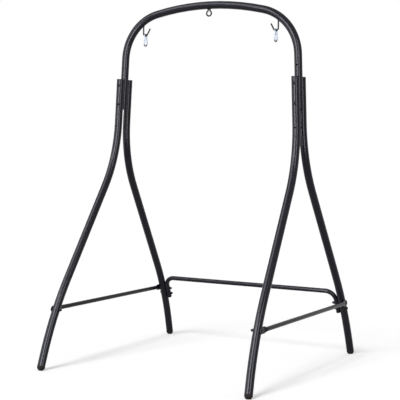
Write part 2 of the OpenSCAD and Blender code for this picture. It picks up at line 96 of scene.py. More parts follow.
class Carving(Enum):
    """How one closed shape changes another."""

    TAKE_AWAY = "DIFFERENCE"
    JOIN = "UNION"
    KEEP_COMMON = "INTERSECT"


def sin_deg(angle: float) -> float:
    """Sine of an angle in degrees."""
    return math.sin(math.radians(angle))


def cos_deg(angle: float) -> float:
    """Cosine of an angle in degrees."""
    return math.cos(math.radians(angle))


def move(x: float, y: float, z: float) -> Matrix:
    """Matrix that shifts by millimetres."""
    return Matrix.Translation((x, y, z))


def turn(angle: float, axis: str) -> Matrix:
    """Matrix that turns by degrees about a named axis."""
    return Matrix.Rotation(math.radians(angle), 4, axis)


def mirror(side: Side) -> Matrix:
    """Matrix that takes the right side to the named one."""
    return Matrix.Scale(side.value, 4, (1, 0, 0))


@dataclass(frozen=True)
class Step:
    """One straight of a tube run and the bend after it.

    A positive angle turns the run towards its own -X, a negative one towards +X.
    """

    length: float
    radius: float = 0.0
    angle: float = 0.0


@dataclass(frozen=True)
class LegMarks:
    """Heights and distances of a leg's bends and end, and the straight between the bends."""

    upper_start: float
    middle: float
    lower_start: float
    lower_start_y: float
    end: float
    end_y: float


@dataclass(frozen=True)
class FrameSizes:
    """Sizes of the tube frame in millimetres and degrees, the same as in the solids."""

    height: float = 1878.0
    foot_span: float = 1152.0
    lean: float = 2.55
    tube_d: float = 40.0
    tube_wall: float = 1.5
    corner_r: float = 247.0
    crown_r: float = 1393.0
    crown_straight: float = 8.0
    arch_lap: float = 24.0
    arch_rise: float = 398.0
    upper_straight: float = 228.0
    upper_r: float = 627.0
    splay: float = 33.2
    lower_r: float = 1510.0
    foot_splay: float = 16.8
    foot_straight: float = 36.0
    joint_gap: float = 0.6
    bolt_d: float = 8.0
    hole_d: float = 8.6
    bolt_drop: float = 31.0
    bolt_pitch: float = 100.0
    spare_rise: float = 92.0
    spare_fall: float = 118.0
    washer_t: float = 1.6
    brace_d: float = 22.0
    brace_h: float = 294.0
    tongue_w: float = 34.0
    tongue_t: float = 2.8
    tongue_flat: float = 24.0
    tongue_taper: float = 28.0
    seat_gap: float = 0.1
    bar_d: float = 25.0
    bar_wall: float = 1.2
    bar_bend_r: float = 55.0
    bar_rise: float = 71.0
    bar_pitch: float = 31.0
    bar_tail: float = 23.0
    plug_depth: float = 15.0
    plug_gap: float = 0.15
    plug_head: float = 3.5
    foot_collar: float = 5.0
    foot_flat: float = 3.0

    @property
    def tube_r(self) -> float:
        """Radius of the main tube."""
        return self.tube_d / 2

    @property
    def leg_top(self) -> float:
        """Height of the leg tops along the side frame."""
        return self.height - self.arch_rise

    @property
    def leg_off(self) -> float:
        """Distance of the upright part of a leg from the arch plane."""
        return self.tube_d + self.joint_gap

    @property
    def joint_seat(self) -> float:
        """Distance of the joint bolts' seats from the arch plane."""
        return self.leg_off + self.tube_r + self.washer_t

    @property
    def bolt_heights(self) -> tuple[float, float]:
        """Heights of the upper and lower joint bolts along the side frame."""
        upper = self.leg_top - self.bolt_drop
        return upper, upper - self.bolt_pitch

    @property
    def arch_end(self) -> float:
        """Height of the arch ends along the side frame."""
        return self.bolt_heights[1] - self.arch_lap

    @property
    def arch_start(self) -> Matrix:
        """Frame of the right end of the arch, running upwards."""
        return self.side(Side.RIGHT) @ move(0, 0, self.arch_end)

    @property
    def arch_top(self) -> float:
        """Height of the tube axis at the top of the arch."""
        return self.height - self.tube_r

    @property
    def crown_half(self) -> float:
        """Half of the angle that the crown spans.

        Returns:
            The angle in degrees, from the middle to the crown's end.
        """
        span = self.crown_r - self.corner_r
        centre_z = self.arch_top - self.crown_r
        reach = self.foot_span / 2 * cos_deg(self.lean) - centre_z * sin_deg(self.lean) - self.corner_r
        whole = math.asin(reach / math.hypot(span, self.crown_straight))
        return math.degrees(whole - math.atan2(self.crown_straight, span)) - self.lean

    @property
    def corner(self) -> tuple[float, float]:
        """Centre of the right arch corner, as X and Z.

        Returns:
            Its distance from the middle, and its height.
        """
        span = self.crown_r - self.corner_r
        across, up = sin_deg(self.crown_half), cos_deg(self.crown_half)
        x = span * across + self.crown_straight * up
        z = self.arch_top - self.crown_r + span * up - self.crown_straight * across
        return x, z

    def arch_over(self, x: float) -> tuple[float, float]:
        """The arch tube above a point of the floor's middle line.

        Args:
            x: distance from the middle, under the crown or a corner.

        Returns:
            Height of the tube axis there, and its outward fall in degrees.
        """
        corner_x, centre_z = self.corner
        along, radius = x - corner_x, self.corner_r
        if x < self.crown_r * sin_deg(self.crown_half):
            along, radius, centre_z = x, self.crown_r, self.arch_top - self.crown_r
        return centre_z + math.sqrt(radius ** 2 - along ** 2), math.degrees(math.asin(along / radius))

    @property
    def arch_steps(self) -> list[Step]:
        """The arch from its right end over the top to its left end.

        Returns:
            Its straights and bends.
        """
        x, z = self.corner
        start = (self.foot_span / 2 - x) * sin_deg(self.lean) + z * cos_deg(self.lean)
        turned = 90 - self.lean - self.crown_half
        end = start - self.arch_end
        return [
            Step(end, self.corner_r, turned),
            Step(self.crown_straight, self.crown_r, 2 * self.crown_half),
            Step(self.crown_straight, self.corner_r, turned),
            Step(end),
        ]

    @property
    def dome_h(self) -> float:
        """Height of the centre of a foot's dome along the side frame."""
        return (self.tube_r - self.foot_flat) / cos_deg(self.lean)

    @property
    def leg_marks(self) -> LegMarks:
        """Where a leg's bends start and end.

        Returns:
            Heights along the side frame and distances from the arch plane.
        """
        upper_start = self.leg_top - self.upper_straight
        upper_end = upper_start - self.upper_r * sin_deg(self.splay)
        upper_end_y = self.leg_off + self.upper_r * (1 - cos_deg(self.splay))
        end = self.dome_h + self.foot_collar * cos_deg(self.foot_splay)
        lower_end = end + self.foot_straight * cos_deg(self.foot_splay)
        lower_start = lower_end + self.lower_r * (sin_deg(self.splay) - sin_deg(self.foot_splay))
        middle = (upper_end - lower_start) / cos_deg(self.splay)
        lower_start_y = upper_end_y + middle * sin_deg(self.splay)
        lower_end_y = lower_start_y + self.lower_r * (cos_deg(self.foot_splay) - cos_deg(self.splay))
        end_y = lower_end_y + self.foot_straight * sin_deg(self.foot_splay)
        return LegMarks(upper_start, middle, lower_start, lower_start_y, end, end_y)

    @property
    def leg_steps(self) -> list[Step]:
        """A leg from its top down to its foot.

        Returns:
            Its straights and bends.
        """
        return [
            Step(self.upper_straight, self.upper_r, self.splay),
            Step(self.leg_marks.middle, self.lower_r, self.foot_splay - self.splay),
            Step(self.foot_straight),
        ]

    def leg_slope(self, height: float) -> float:
        """Slope of the lower bend of a leg from upright, at a height along the side frame."""
        below = (self.leg_marks.lower_start - height) / self.lower_r
        return math.degrees(math.asin(sin_deg(self.splay) - below))

    def leg_y(self, height: float) -> float:
        """Distance of the lower bend of a leg from the arch plane, at a height along the side frame."""
        bent = cos_deg(self.leg_slope(height)) - cos_deg(self.splay)
        return self.leg_marks.lower_start_y + self.lower_r * bent

    @property
    def bar_off(self) -> float:
        """Distance of the cross bar's ends inside the leg axes."""
        return self.tube_r + self.seat_gap + self.bar_d / 2

    @property
    def bar_low_h(self) -> float:
        """Height of the lower cross bar bolts along the side frame."""
        return self.brace_h - self.bar_pitch

    @property
    def bar_slope(self) -> float:
        """Slope of the cross bar's ends from upright, seen from the side."""
        return math.degrees(math.atan2(self.leg_y(self.bar_low_h) - self.leg_y(self.brace_h), self.bar_pitch))

    def plug_r(self, diameter: float, wall: float) -> float:
        """Radius of what is pushed into a tube of this diameter and wall."""
        return diameter / 2 - wall - self.plug_gap

    def side(self, side: Side) -> Matrix:
        """Frame of a leaning side frame, mirrored on the left: +X outwards, +Z up along the lean."""
        right = move(self.foot_span / 2, 0, 0) @ turn(-self.lean, "Y")
        return mirror(side) @ right

    def row(self, row: Row) -> Matrix:
        """Matrix that mirrors a rear piece to the front."""
        return Matrix.Scale(row.value, 4, (0, 1, 0))


@dataclass(frozen=True)
class GearSizes:
    """Sizes of the hooks, the eye and the snap links in millimetres and degrees."""

    sizes: FrameSizes = FrameSizes()
    hook_inset: float = 181.5
    hook_wire: float = 8.0
    hook_bend_r: float = 13.0
    hook_drop: float = 74.0
    hook_tip: float = 31.0
    hook_tip_angle: float = 29.0
    eye_wire: float = 8.0
    eye_bore: float = 19.4
    eye_drop: float = 39.5
    eye_gap: float = 1.8
    eye_neck_r: float = 6.0
    eye_flat: float = 1.5
    link_len: float = 70.0
    link_wire: float = 7.0
    link_wide: float = 36.0
    link_slack: float = 1.0
    link_play: float = 0.3
    gate_pivot: float = 5.0
    nose_len: float = 4.4
    lip_len: float = 3.6
    lip_t: float = 2.2
    gate_gap: float = 0.4
    tang_t: float = 3.0
    cheek_gap: float = 0.2
    pin_d: float = 2.5
    spring_d: float = 3.4
    spring_end: float = 11.7

    @property
    def hook_x(self) -> float:
        """Distance of a hook's shank from the middle."""
        return self.sizes.foot_span / 2 - self.hook_inset

    @property
    def hook_low(self) -> Vector:
        """The wire axis at the bottom of the right hook."""
        over, _ = self.sizes.arch_over(self.hook_x)
        return Vector((self.hook_x - self.hook_bend_r, 0.0, over - self.hook_drop))

    @property
    def top_r(self) -> float:
        """Bend radius of the narrow upper end of a link."""
        return self.hook_wire / 2 + self.link_slack + self.link_wire / 2

    @property
    def low_r(self) -> float:
        """Bend radius of the wide lower end of a link."""
        return (self.link_wide - self.link_wire) / 2

    @property
    def drop(self) -> float:
        """Distance between the two bend centres of a link."""
        return self.link_len - self.link_wire - self.top_r - self.low_r

    @property
    def slope(self) -> float:
        """Slope of the sides of a link from upright."""
        return math.degrees(math.asin((self.low_r - self.top_r) / self.drop))

    @property
    def side_len(self) -> float:
        """Length of the straight sides of a link."""
        return self.drop * cos_deg(self.slope)

    @property
    def gate_tip(self) -> float:
        """Distance of the gate's lower end along the gate line."""
        return self.side_len - self.nose_len - self.gate_gap

    def gate_line(self, side: Side) -> Matrix:
        """Frame of a gate line: the gate runs along -Z, +X points out of the link.

        Args:
            side: which link.

        Returns:
            The matrix, with its origin where the upper bend ends.
        """
        rise = self.hook_wire / 2 + self.link_play + self.link_wire / 2 - self.top_r
        low = self.hook_low
        hang = move(side.value * low.x, 0, low.z) @ turn(-90, "Z")
        bend_end = move(self.top_r * cos_deg(self.slope), 0, rise + self.top_r * sin_deg(self.slope))
        return hang @ bend_end @ turn(-self.slope, "Y")


def linear(hex_colour: str) -> tuple[float, float, float, float]:
    """Linear RGBA of an sRGB hex colour.

    Args:
        hex_colour: six hex digits after a hash.

    Returns:
        Red, green, blue and an alpha of 1.
    """
    parts = [int(hex_colour[i:i + 2], 16) / 255 for i in (1, 3, 5)]
    red, green, blue = [c / 12.92 if c <= 0.04045 else ((c + 0.055) / 1.055) ** 2.4 for c in parts]
    return red, green, blue, 1.0


def add_node(
    tree: bpy.types.NodeTree, kind: str, settings: dict[Any, Any], links: dict[Any, Any]
) -> bpy.types.Node:
    """Adds a shader node.

    Args:
        tree: the node tree.
        kind: the node's type name.
        settings: values by attribute name, or by input name or number.
        links: output sockets by the input that they feed.

    Returns:
        The new node.
    """
    node = tree.nodes.new(kind)
    for key, value in settings.items():
        if isinstance(key, str) and hasattr(node, key):
            setattr(node, key, value)
        else:
            node.inputs[key].default_value = value
    for key, socket in links.items():
        tree.links.new(socket, node.inputs[key])
    return node


@dataclass(frozen=True)
class Finish:
    """A surface: its colours, gloss, and the real size of its texture in millimetres."""

    name: str
    slot: str
    colour: str
    shade: str
    roughness: float
    rough_spread: float
    grain_mm: float
    relief_mm: float
    patch_mm: float
    metallic: float = 0.0
    specular: float = 0.5
    patch_detail: float = 3.0
    grain_detail: float = 2.0
    patch_low: float = 0.3
    patch_high: float = 0.7
    relief_strength: float = 0.35

    def noise(
        self, tree: bpy.types.NodeTree, size_mm: float, detail: float, place: bpy.types.NodeSocket
    ) -> bpy.types.NodeSocket:
        """The values of a noise texture with blotches of a real size."""
        settings = {"Scale": MM_PER_METRE / size_mm, "Detail": detail}
        return add_node(tree, "ShaderNodeTexNoise", settings, {"Vector": place}).outputs["Fac"]

    def material(self) -> bpy.types.Material:
        """The material, made once and then shared.

        Returns:
            A node material on Object coordinates.
        """
        made = bpy.data.materials.get(self.name)
        if made:
            return made
        made = bpy.data.materials.new(self.name)
        made.use_nodes = True
        tree = made.node_tree
        tree.nodes.clear()
        place = add_node(tree, "ShaderNodeTexCoord", {}, {}).outputs["Object"]
        patch = self.noise(tree, self.patch_mm, self.patch_detail, place)
        grain = self.noise(tree, self.grain_mm, self.grain_detail, place)
        colours = {"data_type": "RGBA", MIX_FIRST: linear(self.colour), MIX_SECOND: linear(self.shade)}
        tint = add_node(tree, "ShaderNodeMix", colours, {0: patch})
        spread = {
            "To Min": self.roughness - self.rough_spread,
            "To Max": self.roughness + self.rough_spread,
            "From Min": self.patch_low,
            "From Max": self.patch_high,
        }
        gloss = add_node(tree, "ShaderNodeMapRange", spread, {"Value": patch})
        relief = {"Strength": self.relief_strength, "Distance": self.relief_mm / MM_PER_METRE}
        bump = add_node(tree, "ShaderNodeBump", relief, {"Height": grain})
        shader = add_node(
            tree, "ShaderNodeBsdfPrincipled",
            {"Metallic": self.metallic, "Specular IOR Level": self.specular},
            {
                "Base Color": tint.outputs[MIX_RESULT],
                "Roughness": gloss.outputs["Result"],
                "Normal": bump.outputs["Normal"],
            },
        )
        add_node(tree, "ShaderNodeOutputMaterial", {}, {"Surface": shader.outputs["BSDF"]})
        return made


# Polyester powder coat baked on steel tube: charcoal, half gloss, a fine orange peel that softens highlights
POWDER_COAT = Finish(
    "charcoal_powder_coat", "coated_steel", "#1b1b22", "#202029",
    roughness=0.18, rough_spread=0.03, grain_mm=1.6, relief_mm=0.02, patch_mm=60.0, specular=0.12,
)
# Moulded rubber: brown-black and nearly matt, with a dusty bloom in patches
FOOT_RUBBER = Finish(
    "moulded_foot_rubber", "foot_rubber", "#241f1c", "#2d2724",
    roughness=0.72, rough_spread=0.08, grain_mm=0.9, relief_mm=0.12, patch_mm=14.0, specular=0.06,
)
# Injection-moulded polyethylene: black, dull, with a fine spark texture
PLUG_PLASTIC = Finish(
    "moulded_plug_plastic", "plug_plastic", "#18181a", "#1f1f21",
    roughness=0.55, rough_spread=0.05, grain_mm=0.7, relief_mm=0.05, patch_mm=20.0, specular=0.06,
)
# Black zinc on steel fastenings: dark metal with a satin edge to its highlights
BLACK_ZINC = Finish(
    "black_zinc_plating", "black_hardware", "#121214", "#1b1b1e",
    roughness=0.4, rough_spread=0.06, grain_mm=0.8, relief_mm=0.02, patch_mm=9.0, metallic=0.6, specular=0.1,
)
# Blue-white zinc on bent wire: bright cool metal, a little cloudy from the bath
BRIGHT_ZINC = Finish(
    "blue_white_zinc_plating", "bright_zinc", "#717880", "#5a6169",
    roughness=0.34, rough_spread=0.07, grain_mm=0.8, relief_mm=0.02, patch_mm=7.0, metallic=1.0,
)
# Drawn spring wire and turned pins: plain grey steel
SPRING_STEEL = Finish(
    "drawn_spring_steel", "spring_steel", "#9a9da1", "#84878b",
    roughness=0.3, rough_spread=0.05, grain_mm=0.6, relief_mm=0.02, patch_mm=5.0, metallic=1.0,
)


def outward(bm: BMesh) -> BMesh:
    """Turns every face of a closed mesh outwards."""
    bmesh.ops.recalc_face_normals(bm, faces=bm.faces)
    return bm


def spin_round(bm: BMesh, geometry: Sequence[Any], steps: int) -> None:
    """Spins a line or a ring once round +Z.

    Args:
        bm: the mesh that it is in.
        geometry: its vertices and edges.
        steps: steps round the axis.
    """
    bmesh.ops.spin(
        bm, geom=geometry, cent=(0, 0, 0), axis=(0, 0, 1), angle=2 * math.pi, steps=steps,
        use_merge=True, use_duplicate=False,
    )


class TubeRun:
    """A round tube that grows along straights and bends inside a bmesh, from a ring of vertices."""

    def __init__(self, bm: BMesh, start: Matrix, radius: float, sides: int = TUBE_SIDES) -> None:
        """Draws the first ring.

        Args:
            bm: the mesh that the tube grows in.
            start: frame of the tube's start, the tube running along +Z.
            radius: radius of the tube.
            sides: vertices round the tube.
        """
        self.bm = bm
        self.at = start.copy()
        self.verts = bmesh.ops.create_circle(bm, segments=sides, radius=radius, matrix=start)["verts"]
        self.ring: list[BMEdge] = list(dict.fromkeys(e for v in self.verts for e in v.link_edges))
        self.first = list(self.ring)

    def _take(self, geometry: Sequence[Any]) -> None:
        """Makes the newest ring the end of the run.

        Args:
            geometry: what the last step drew.
        """
        self.verts = [g for g in geometry if isinstance(g, BMVert)]
        ends = set(self.verts)
        self.ring = [g for g in geometry if isinstance(g, BMEdge) and all(v in ends for v in g.verts)]

    def straight(self, length: float) -> None:
        """Extrudes the end ring along the run.

        Args:
            length: how far.
        """
        self._take(bmesh.ops.extrude_edge_only(self.bm, edges=self.ring)["geom"])
        bmesh.ops.translate(self.bm, verts=self.verts, vec=self.at.to_3x3() @ Vector((0, 0, length)))
        self.at = self.at @ move(0, 0, length)

    def bend(self, radius: float, angle: float) -> None:
        """Spins the end ring round a bend.

        Args:
            radius: bend radius at the tube axis.
            angle: degrees, positive towards the run's own -X.
        """
        way = math.copysign(1.0, angle)
        hub = self.at @ move(-way * radius, 0, 0)
        basis = self.at.to_3x3()
        axis, _ = (basis @ turn(-way, "Y").to_3x3() @ basis.inverted()).to_quaternion().to_axis_angle()
        spun = bmesh.ops.spin(
            self.bm, geom=self.verts + self.ring, cent=hub.translation, axis=axis,
            angle=math.radians(abs(angle)), steps=max(BEND_RINGS, round(abs(angle) / BEND_STEP)),
            use_merge=False, use_duplicate=False,
        )
        self._take(spun["geom_last"])
        self.at = hub @ turn(-angle, "Y") @ move(way * radius, 0, 0)

    def follow(self, steps: Sequence[Step]) -> "TubeRun":
        """Runs along every step.

        Args:
            steps: the straights and bends in order.

        Returns:
            The run itself.
        """
        for step in steps:
            if step.length:
                self.straight(step.length)
            if step.radius:
                self.bend(step.radius, step.angle)
        return self


def hollow_tube(steps: Sequence[Step], start: Matrix, diameter: float, wall: float) -> BMesh:
    """A bent tube with a real wall, open at both ends.

    Args:
        steps: the straights and bends.
        start: frame of the tube's start.
        diameter: outside diameter.
        wall: wall thickness.

    Returns:
        The closed mesh of the wall.
    """
    bm = bmesh.new()
    TubeRun(bm, start, diameter / 2).follow(steps)
    outward(bm)
    bmesh.ops.solidify(bm, geom=list(bm.faces), thickness=wall)
    return bm


def solid_wire(steps: Sequence[Step], start: Matrix, diameter: float) -> BMesh:
    """A bent solid wire with flat ends.

    Args:
        steps: the straights and bends.
        start: frame of the wire's start.
        diameter: wire diameter.

    Returns:
        The closed mesh.
    """
    bm = bmesh.new()
    run = TubeRun(bm, start, diameter / 2, WIRE_SIDES).follow(steps)
    bmesh.ops.contextual_create(bm, geom=run.first)
    bmesh.ops.contextual_create(bm, geom=run.ring)
    return outward(bm)


def lathe(profile: Sequence[tuple[float, float]], sides: int = TUBE_SIDES) -> BMesh:
    """A turned shape about +Z.

    Args:
        profile: radius and height of each point, from one end of the axis to the other.
        sides: steps round the axis.

    Returns:
        The closed mesh.
    """
    bm = bmesh.new()
    points = [bm.verts.new((radius, 0, height)) for radius, height in profile]
    edges = [bm.edges.new(pair) for pair in zip(points, points[1:])]
    spin_round(bm, points + edges, sides)
    bmesh.ops.remove_doubles(bm, verts=bm.verts, dist=MERGE)
    return outward(bm)


def arc(centre: float, radius: float, start: float, end: float, count: int) -> list[tuple[float, float]]:
    """Profile points on an arc whose centre lies on the axis.

    Args:
        centre: height of the arc's centre.
        radius: radius of the arc.
        start: first angle in degrees, 0 at the equator and 90 at the top.
        end: last angle.
        count: number of points.

    Returns:
        Radius and height of each point.
    """
    angles = [start + (end - start) * i / (count - 1) for i in range(count)]
    return [(max(0.0, radius * cos_deg(a)), centre + radius * sin_deg(a)) for a in angles]


def rod(diameter: float, low: float, high: float, sides: int = WIRE_SIDES) -> BMesh:
    """A round or six-sided bar along +Z, for carving with.

    A round bar is turned by a quarter of a facet, so that its corners miss the edges of a tube.

    Args:
        diameter: diameter over its corners.
        low: height of its lower end.
        high: height of its upper end.
        sides: sides of the bar.

    Returns:
        The closed mesh.
    """
    bm = bmesh.new()
    twist = 90 / sides if sides > HEX_SIDES else 0.0
    bmesh.ops.create_cone(
        bm, cap_ends=True, segments=sides, radius1=diameter / 2, radius2=diameter / 2, depth=high - low,
        matrix=move(0, 0, (low + high) / 2) @ turn(twist, "Z"),
    )
    return bm


def over_corners(flats: float) -> float:
    """Diameter over the corners of a hexagon, from its width across flats."""
    return flats / cos_deg(180 / HEX_SIDES)


def block(low: Sequence[float], high: Sequence[float]) -> BMesh:
    """A block between two corners, for carving with.

    Args:
        low: lowest corner.
        high: highest corner.

    Returns:
        The closed mesh.
    """
    bm = bmesh.new()
    middle = (Vector(low) + Vector(high)) / 2
    bmesh.ops.create_cube(bm, size=1.0)
    bmesh.ops.scale(bm, vec=Vector(high) - Vector(low), verts=bm.verts)
    bmesh.ops.translate(bm, vec=middle, verts=bm.verts)
    return bm


def stored(shape: BMesh, name: str) -> bpy.types.Mesh:
    """Moves a shape into a mesh of Blender's own.

    Args:
        shape: the shape, which is freed.
        name: name of the mesh.

    Returns:
        The new mesh.
    """
    mesh = bpy.data.meshes.new(name)
    shape.to_mesh(mesh)
    shape.free()
    return mesh


def linked(name: str, data: bpy.types.ID) -> bpy.types.Object:
    """Puts a new object into the scene.

    Args:
        name: its name.
        data: its mesh, lamp or camera.

    Returns:
        The object.
    """
    made = bpy.data.objects.new(name, data)
    bpy.context.scene.collection.objects.link(made)
    return made


def copies(shape: BMesh, places: Sequence[Matrix]) -> BMesh:
    """Copies of a shape at several places, in one mesh.

    Args:
        shape: the shape, which is freed.
        places: one matrix per copy; a mirrored one is turned right side out again.

    Returns:
        The mesh of all copies.
    """
    mesh = stored(shape, "one_copy")
    group = bmesh.new()
    for place in places:
        known = len(group.verts)
        group.from_mesh(mesh)
        group.verts.ensure_lookup_table()
        bmesh.ops.transform(group, matrix=place, verts=group.verts[known:])
    bpy.data.meshes.remove(mesh)
    return outward(group)


def carve(body: BMesh, tool: BMesh, how: Carving = Carving.TAKE_AWAY) -> BMesh:
    """Cuts, joins or intersects two closed shapes.

    Args:
        body: the shape to change, which is freed.
        tool: the shape to change it with, which is freed.
        how: what to do.

    Returns:
        The new shape.
    """
    shapes = {"carved_body": body, "carving_tool": tool}
    objects = [linked(name, stored(bm, name)) for name, bm in shapes.items()]
    modifier = objects[0].modifiers.new("carve", "BOOLEAN")
    modifier.operation = how.value
    modifier.solver = "EXACT"
    modifier.object = objects[1]
    made = bmesh.new()
    made.from_object(objects[0], bpy.context.evaluated_depsgraph_get())
    bmesh.ops.remove_doubles(made, verts=made.verts, dist=MERGE)
    for item in objects:
        mesh = item.data
        bpy.data.objects.remove(item)
        bpy.data.meshes.remove(mesh)
    return made


def drill(body: BMesh, hole_d: float, reach: float, places: Sequence[Matrix]) -> BMesh:
    """Cuts round holes that reach as far to both sides of their places."""
    return carve(body, copies(rod(hole_d, -reach, reach), places))


def put(bm: BMesh, name: str, finish: Finish, body: str, *nodes: str) -> None:
    """Turns a mesh in millimetres into a finished piece at the origin, in metres.

    Args:
        bm: the mesh, which is freed.
        name: name of the piece.
        finish: its surface.
        body: the CAD body that it rides on.
        nodes: the CAD nodes that it stands for.
    """
    bmesh.ops.remove_doubles(bm, verts=bm.verts, dist=MERGE)
    bmesh.ops.scale(bm, vec=(1 / MM_PER_METRE,) * 3, verts=bm.verts)
    for face in bm.faces:
        face.smooth = True
    for edge in bm.edges:
        edge.smooth = len(edge.link_faces) == 2 and edge.calc_face_angle(0.0) < math.radians(SMOOTH_BELOW)
    mesh = stored(bm, name)
    mesh.materials.append(finish.material())
    piece = linked(name, mesh)
    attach(piece, body)
    if nodes:
        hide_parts(*nodes)
    log.info("%s: %d faces on %s", name, len(mesh.polygons), body)


@dataclass(frozen=True)
class EndPlug:
    """A push-in plug: a dished head with a round rim above the origin, and a ribbed hollow spigot below.

    The dish is given by shares of the radius and depths below the rim, and the ribs by depths below the
    tube's end and distances inside its bore.
    """

    sizes: FrameSizes
    diameter: float
    wall: float
    rim_r: float = 1.2
    rim_step: int = 15
    dish: Profile = ((0.0, 0.5), (0.45, 0.45), (0.62, 0.0))
    ribs: Profile = ((0.0, 0.0), (4.0, 0.0), (4.6, 0.8), (8.0, 0.8), (8.6, 0.0), (12.0, 0.0), (12.6, 0.8))
    tip_inset: float = 1.4
    spigot_wall: float = 4.0
    web: float = 1.0

    def at(self, places: Sequence[Matrix]) -> BMesh:
        """The plug at several places.

        Args:
            places: frames of the tube ends, +Z out of the tube.

        Returns:
            The mesh of all plugs.
        """
        r, head, depth = self.diameter / 2, self.sizes.plug_head, self.sizes.plug_depth
        bore = self.sizes.plug_r(self.diameter, self.wall)
        inner, edge = bore - self.spigot_wall, self.rim_r
        dish = [(r * share, head - deep) for share, deep in self.dish]
        angles = range(90, -1, -self.rim_step)
        rim = [(r - edge + edge * cos_deg(a), head - edge + edge * sin_deg(a)) for a in angles]
        ribs = [(bore - dip, -deep) for deep, dip in (*self.ribs, (depth, self.tip_inset))]
        hollow = [(inner, -depth), (inner, -self.web), (0.0, -self.web)]
        return copies(lathe([*dish, *rim, (r, 0.0), *ribs, *hollow]), places)


@dataclass
class Arch:
    """The top arch and the plugs in its ends."""

    sizes: FrameSizes

    def build(self) -> None:
        """Bends the arch, drills it and plugs its ends."""
        s = self.sizes
        tube = hollow_tube(s.arch_steps, s.arch_start, s.tube_d, s.tube_wall)
        heights = [*s.bolt_heights, s.bolt_heights[0] + s.spare_rise]
        places = [s.side(side) @ move(0, 0, h) @ turn(90, "X") for side in Side for h in heights]
        put(drill(tube, s.hole_d, s.tube_d, places), "arch_tube", POWDER_COAT, "frame", "top_arch")
        ends = [s.side(side) @ move(0, 0, s.arch_end) @ turn(180, "X") for side in Side]
        plugs = EndPlug(s, s.tube_d, s.tube_wall).at(ends)
        put(plugs, "arch_end_caps", PLUG_PLASTIC, "frame", "arch_end_plugs")


@dataclass
class Legs:
    """The legs with their top plugs and foot caps.

    The skins of a cap's collar and spigot are given by distances from the leg's end, and by how far they
    lie inside the tube's radius or its bore.
    """

    sizes: FrameSizes
    collar: Profile = ((0.0, 0.1), (0.5, 0.1), (0.9, 0.0), (2.6, 0.0), (3.0, 0.5), (3.4, 0.0))
    spigot: Profile = ((13.0, 0.0), (12.2, 0.8), (8.8, 0.8), (8.0, 0.0), (0.0, 0.0))
    tip_inset: float = 1.0
    tip_lead: float = 1.5
    dome_points: int = 16

    def leg(self, side: Side, row: Row) -> None:
        """Bends and drills one leg.

        Args:
            side: left or right.
            row: front or rear.
        """
        s = self.sizes
        base = s.side(side) @ s.row(row)
        top = base @ move(0, s.leg_off, s.leg_top) @ turn(-90, "Z") @ turn(180, "X")
        tube = hollow_tube(s.leg_steps, top, s.tube_d, s.tube_wall)
        upper, lower = s.bolt_heights
        spare = lower - s.spare_fall
        drop = s.leg_marks.upper_start - spare
        spare_y = s.leg_off + s.upper_r - math.sqrt(s.upper_r ** 2 - drop ** 2)
        across = ((s.leg_off, upper), (s.leg_off, lower), (spare_y, spare))
        places = [base @ move(0, y, h) @ turn(90, "X") for y, h in across]
        heights = [s.brace_h, s.bar_low_h] if row is Row.REAR else [s.brace_h]
        places += [base @ move(0, s.leg_y(h), h) @ turn(90, "Y") for h in heights]
        node = f"{row.label}_{side.label}_leg"
        put(drill(tube, s.hole_d, s.tube_d, places), f"{node}_tube", POWDER_COAT, "frame", node)

    def foot(self, side: Side, row: Row) -> None:
        """Moulds one foot cap and flattens its dome on the floor.

        Args:
            side: left or right.
            row: front or rear.
        """
        s, marks = self.sizes, self.sizes.leg_marks
        r, bore, depth = s.tube_r, s.plug_r(s.tube_d, s.tube_wall), s.plug_depth
        tip = [(0.0, depth), (bore - self.tip_inset, depth), (bore, depth - self.tip_lead)]
        spigot = [(bore - dip, up) for up, dip in self.spigot]
        collar = [(r - dip, -down) for down, dip in self.collar]
        cap = lathe([*tip, *spigot, *collar, *arc(-s.foot_collar, r, 0, -90, self.dome_points)])
        leg_end = s.side(side) @ s.row(row) @ move(0, marks.end_y, marks.end)
        bmesh.ops.transform(cap, matrix=leg_end @ turn(s.foot_splay, "X"), verts=cap.verts)
        cut = bmesh.ops.bisect_plane(
            cap, geom=[*cap.verts, *cap.edges, *cap.faces],
            plane_co=(0, 0, 0), plane_no=(0, 0, -1), clear_outer=True,
        )
        bmesh.ops.contextual_create(cap, geom=[g for g in cut["geom_cut"] if isinstance(g, BMEdge)])
        node = f"{row.label}_{side.label}_foot"
        put(outward(cap), f"{node}_cap", FOOT_RUBBER, "frame", node)

    def build(self) -> None:
        """Makes every leg, foot cap and top plug."""
        s = self.sizes
        for side in Side:
            for row in Row:
                self.leg(side, row)
                self.foot(side, row)
        tops = [s.side(side) @ move(0, row.value * s.leg_off, s.leg_top) for side in Side for row in Row]
        plugs = EndPlug(s, s.tube_d, s.tube_wall).at(tops)
        put(plugs, "leg_top_caps", PLUG_PLASTIC, "frame", "leg_top_plugs")


